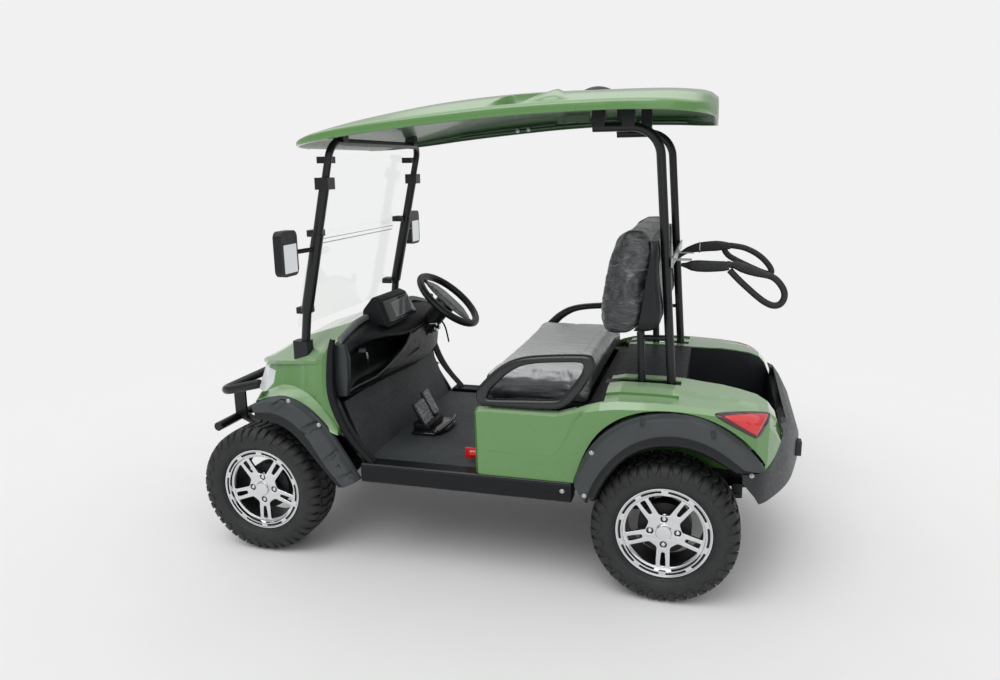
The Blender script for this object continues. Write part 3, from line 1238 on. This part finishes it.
# Wells: place, direction, half length, half width and depth
WELLS = [((0.768, 0.686), (-0.8, 0.5), 0.058, 0.017, 0.020),
         ((0.632, 0.596), (-0.86, 0.4), 0.050, 0.018, 0.022),
         ((0.556, 0.478), (-0.8, 0.6), 0.042, 0.013, 0.012),
         ((0.524, 0.438), (-0.8, 0.5), 0.013, 0.009, 0.010),
         ((0.492, 0.400), (-0.9, 0.45), 0.040, 0.013, 0.014)]
FLARE_SCREWS = [("front_flare_screw_%s_0", 0.733, 0.618, 0.697, 0.0065),
                ("front_flare_screw_%s_1", 0.604, 0.618, 0.606, 0.0065),
                ("rear_flare_screw_%s_0", -0.494, 0.628, 0.590, 0.0065),
                ("rear_flare_screw_%s_1", -0.470, 0.6355, 0.424, 0.0065),
                ("sill_screw_%s", -0.381, 0.6005, 0.418, 0.0065),
                ("bumper_screw_%s", -1.050, 0.602, 0.545, 0.0060)]
CLIP = mm([(0, 14), (-6, 10), (-7, -16), (0, -22), (7, -16), (6, 10)])


def press_well(mesh, side, place, direction, length, width, deep):
    """Sink a screw well into a flare's face."""
    run = Vector(direction).normalized()
    for vert in mesh.verts:
        away = Vector((vert.co.x, vert.co.z)) - Vector(place)
        along, across = away.dot(run), away.dot(Vector((-run.y, run.x)))
        fall = eased(length, length - 0.008, abs(along)) * eased(width, width - 0.007, abs(across))
        if abs(vert.co.y) > 0.61:
            vert.co.y -= side * deep * fall * (0.35 + 0.65 * eased(-length, length * 0.6, along))


def flare(end, side, tag, lines, wells):
    rows = []
    for station in zip(*lines):
        top, crease, lip = (Vector(point) for point in station)
        spots = [(top.lerp(crease, share) if share < 1 else crease.lerp(lip, share - 1), y)
                 for share, y in FLARE_FORM]
        rows.append([Vector((spot.x, side * y, spot.y)) for spot, y in spots])
    fine = []
    last = len(rows) - 1
    for index in range(last):
        near = [rows[max(index - 1, 0)], rows[index], rows[index + 1], rows[min(index + 2, last)]]
        for step in range(6):
            fine.append([catmull(*points, step / 6) for points in zip(*near)])
    fine.append(rows[-1])
    spans = range(len(FLARE_FORM) - 1)
    parts = [max(1, int(max((line[k + 1] - line[k]).length for line in fine) / 0.006)) for k in spans]
    mesh = bmesh.new()
    steps = [(k, step / parts[k]) for k in spans for step in range(parts[k])]
    grid = grid_of(mesh, [[line[k].lerp(line[k + 1], share) for k, share in steps] + [line[-1]]
                          for line in fine])
    dark = sum(parts[:FACE_SPANS])
    bridge(mesh, [line[:dark + 1] for line in grid], around=False)
    bridge(mesh, [line[dark:] for line in grid], around=False, material=1)
    for well in wells:
        press_well(mesh, side, *well)
    bmesh.ops.recalc_face_normals(mesh, faces=mesh.faces)
    finished("flare_%s_%s" % (end, tag), mesh, ["flare_face", "flare_dark"], smooth=30, solid=0.003,
             stands_for=end + "_flares")


def flares(side, tag):
    flare("rear", side, tag, (REAR_TOP, REAR_CREASE, REAR_LIP), [])
    flare("front", side, tag, (FRONT_TOP, FRONT_CREASE, FRONT_LIP), WELLS)
    for name, x, y, z, radius in FLARE_SCREWS:
        screw(name % tag, (x, side * y, z), (0, side, 0), radius)
    for index, (x, z) in enumerate(((-0.671, 0.728), (-0.916, 0.700))):
        pipe("flare_clip_%s_%d" % (tag, index), [(x + dx, side * 0.6335, z + dz) for dx, dz in CLIP], 0.0022,
             "gloss_black", cyclic=True, slot="flare_plastic")


# Tail lamps: a dark frame and a bright lens on the body's corner
LAMP_EDGE = mm([(-926, 746), (-938, 768), (-1083, 781), (-1098, 754), (-1073, 696), (-1056, 683),
                (-1043, 686)])
LAMP_LENS = mm([(-954, 748), (-964, 759), (-1078, 774), (-1086, 756), (-1062, 699), (-1050, 694)])


def laid(hits, side, x, z, out, behind=None):
    """The body's surface seen from the side at x and z, lifted by out, or a place behind the aim if it ends."""
    eye = Vector((EYE[0], side * EYE[1], EYE[2]))
    aim = Vector((x, side * 0.60, z))
    run = (aim - eye).normalized()
    found = [place for place in (hit(aim - run * 0.4, run) for hit in hits) if place is not None]
    if found:
        return min(found, key=lambda place: (place - eye).length) - run * out
    return None if behind is None else aim + run * behind


def lamp_patch(name, outline, side, lift, material, rise):
    """Patch inside an outline, laid on the body."""
    hits = [reach_of("tail_lamps"), reach_of("rear_body")]
    line = [Vector(point) for point in smooth_ring(outline, 5)]
    middle = sum(line, Vector((0, 0))) / len(line)
    rows = []
    levels = [(1.0, -0.004), (1.0, lift)] + [(share, lift + rise) for share in (0.93, 0.7, 0.45, 0.2)]
    for share, out in levels:
        row = []
        for point in line:
            x, z = middle.lerp(point, share)
            row.append(laid(hits, side, x, z, out) or laid(hits, side, x + 0.02, z - 0.02, out)
                       or Vector((x, side * 0.56, z)))
        rows.append(row)
    mesh = bmesh.new()
    rings = grid_of(mesh, rows)
    bridge(mesh, rings)
    mesh.faces.new(rings[-1])
    bmesh.ops.recalc_face_normals(mesh, faces=mesh.faces)
    return finished(name, mesh, [material], 0, 1, 50)


def tail_lamps():
    mesh = bmesh.new()
    mesh.from_mesh(NODES["tail_lamps"].data)
    piece_from("tail_lamp_surround", mesh, ["green_paint"], smooth=30, stands_for="tail_lamps")
    for side, tag in SIDES:
        lamp_patch("tail_lamp_frame_" + tag, LAMP_EDGE, side, 0.004, "lamp_frame", 0.0015)
        lens = lamp_patch("tail_lamp_lens_" + tag, LAMP_LENS, side, 0.0065, "lamp_red", 0.003)
        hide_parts("tail_lamps")


# Green skin between the hood's side and the front flare, and dark wheel-arch liners
SKIN_TOP = mm([(864, 727), (848, 723), (829, 734), (801, 749), (774, 760), (750, 763), (717, 760),
               (679, 748), (640, 723), (605, 692), (579, 662), (553, 633), (525, 594)])
SKIN_LOW = mm([(898, 673), (887, 681), (870, 689), (848, 697), (821, 704), (789, 704), (758, 700),
               (723, 686), (686, 659), (648, 628), (611, 597), (583, 570), (530, 559)])
# Liners: end, line of the lip, middle of the arch and depth of the curtain
LINERS = (("rear", REAR_LIP, (-0.755, 0.29), 0.036), ("front", FRONT_LIP, (0.925, 0.29), 0.006))


def arch_skins(side, tag):
    hits = [reach_of("front_cowl")]
    rows = []
    for top, (x, z) in zip(SKIN_TOP, SKIN_LOW):
        high = laid(hits, side, *top, 0.002, 0.02)
        low = Vector((x, side * 0.603, z))
        rows.append([high, high.lerp(low, 0.35) + Vector((0, -side * 0.003, 0)), high.lerp(low, 0.75), low,
                     low + Vector((0, -side * 0.03, -0.004))])
    sheet_of("arch_skin_" + tag, rows, "green_paint", 0.003, 2)
    for end, lip, centre, depth in LINERS:
        rows = []
        for point in lip:
            away = (Vector(point) - Vector(centre)).normalized()
            out = Vector(point) + away * 0.004
            deep = out - away * depth
            rows.append([(out.x, side * 0.606, out.y), (deep.x, side * 0.600, deep.y),
                         (deep.x, side * 0.48, deep.y), (deep.x, side * 0.36, deep.y)])
        sheet_of("arch_liner_%s_%s" % (end, tag), rows, "dark_satin", 0.002, slot="well_plastic")


# Small fittings
def strip(name, side, x0, x1, y0, y1, z, high, material, bevel):
    slab(name, [(x0, side * y0, z), (x1, side * y0, z), (x1, side * y1, z), (x0, side * y1, z)], (0, 0, high),
         material, bevel)


def windshield_seam():
    low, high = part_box("windshield")
    lean = (high[0] - low[0]) / (high[2] - low[2])
    for index, (z, radius) in enumerate(((1.300, 0.0022), (1.318, 0.0016))):
        x = high[0] - (z - low[2]) * lean - 0.004
        pipe("windshield_seam_%d" % index, [(x, -0.42, z), (x, 0.0, z), (x, 0.42, z)], radius, "seam_clear")


roof_skin()
steering_wheel()
tail_lamps()
windshield_seam()
for side, tag in SIDES:
    roof_fittings(side, tag)
    armrest(side, tag)
    flares(side, tag)
    arch_skins(side, tag)
    strip("deck_slot_" + tag, side, -0.795, -0.505, 0.319, 0.381, 0.781, 0.004, "dark_satin", 0.001)
    strip("sill_strip_" + tag, side, -0.412, 0.436, 0.585, 0.5975, 0.4462, 0.0022, "trim_edge", 0.0008)


# Floor and light
def make_stage():
    bpy.ops.mesh.primitive_plane_add(size=160, location=(0, 0, 0))
    floor = bpy.context.object
    floor.name = "floor"
    made, tree, shader = new_material("floor_paper")
    shader.inputs["Roughness"].default_value = 0.9
    shader.inputs["Specular IOR Level"].default_value = 0.1
    vector = coords(tree)
    tone = mixed(tree, ranged(tree, noise_of(tree, vector, 3.0), 0, 1), (0.872, 0.872, 0.872, 1),
                 (0.884, 0.884, 0.884, 1))
    tree.links.new(tone, shader.inputs["Base Color"])
    away = node(tree, "ShaderNodeVectorMath", {0: vector}, operation="LENGTH")
    far = ranged(tree, away.outputs["Value"], 0.0, 1.0, 1.9, 4.2)
    camera_ray = node(tree, "ShaderNodeLightPath").outputs["Is Camera Ray"]
    seen = node(tree, "ShaderNodeMath", {0: far, 1: camera_ray}, operation="MULTIPLY")
    glow = node(tree, "ShaderNodeEmission", {"Color": rgb(PAPER, PAPER, PAPER)})
    blend = node(tree, "ShaderNodeMixShader", {"Fac": seen.outputs["Value"], 1: shader.outputs["BSDF"],
                                               2: glow.outputs["Emission"]})
    tree.links.new(blend.outputs["Shader"], tree.nodes["Material Output"].inputs["Surface"])
    floor.data.materials.append(made)


def make_light():
    """Bright sky overhead, a plain pale background and two soft suns."""
    world = bpy.data.worlds.new("studio")
    bpy.context.scene.world = world
    world.use_nodes = True
    tree = world.node_tree
    tree.nodes.clear()
    rays = node(tree, "ShaderNodeLightPath").outputs
    seen = node(tree, "ShaderNodeMath", {0: rays["Is Camera Ray"], 1: rays["Is Transmission Ray"]},
                operation="MAXIMUM")
    place = node(tree, "ShaderNodeTexCoord").outputs["Generated"]
    height = node(tree, "ShaderNodeSeparateXYZ", {"Vector": place}).outputs["Z"]
    plain = ranged(tree, height, 0.36, 0.94, 0.0, 1.0)
    shine = ranged(tree, height, 0.42, 1.0, 0.47, 0.64)
    strength = node(tree, "ShaderNodeMix", {0: rays["Is Glossy Ray"], 2: plain, 3: shine}, data_type="FLOAT")
    light = node(tree, "ShaderNodeBackground", {"Color": (1, 1, 1, 1), "Strength": strength.outputs[0]})
    back = node(tree, "ShaderNodeBackground", {"Color": rgb(PAPER, PAPER, PAPER), "Strength": 1.0})
    choose = node(tree, "ShaderNodeMixShader", {"Fac": seen.outputs["Value"], 1: light.outputs["Background"],
                                                2: back.outputs["Background"]})
    node(tree, "ShaderNodeOutputWorld", {"Surface": choose.outputs["Shader"]})
    for name, turn, energy, angle in (("key", (-30, 12, 0), 0.9, 40), ("side", (-64, -34, 0), 0.3, 50)):
        data = bpy.data.lights.new(name, "SUN")
        data.energy = energy
        data.angle = math.radians(angle)
        added(name, data).rotation_euler = [math.radians(a) for a in turn]


make_stage()
make_light()
bpy.context.scene.view_settings.view_transform = "Standard"
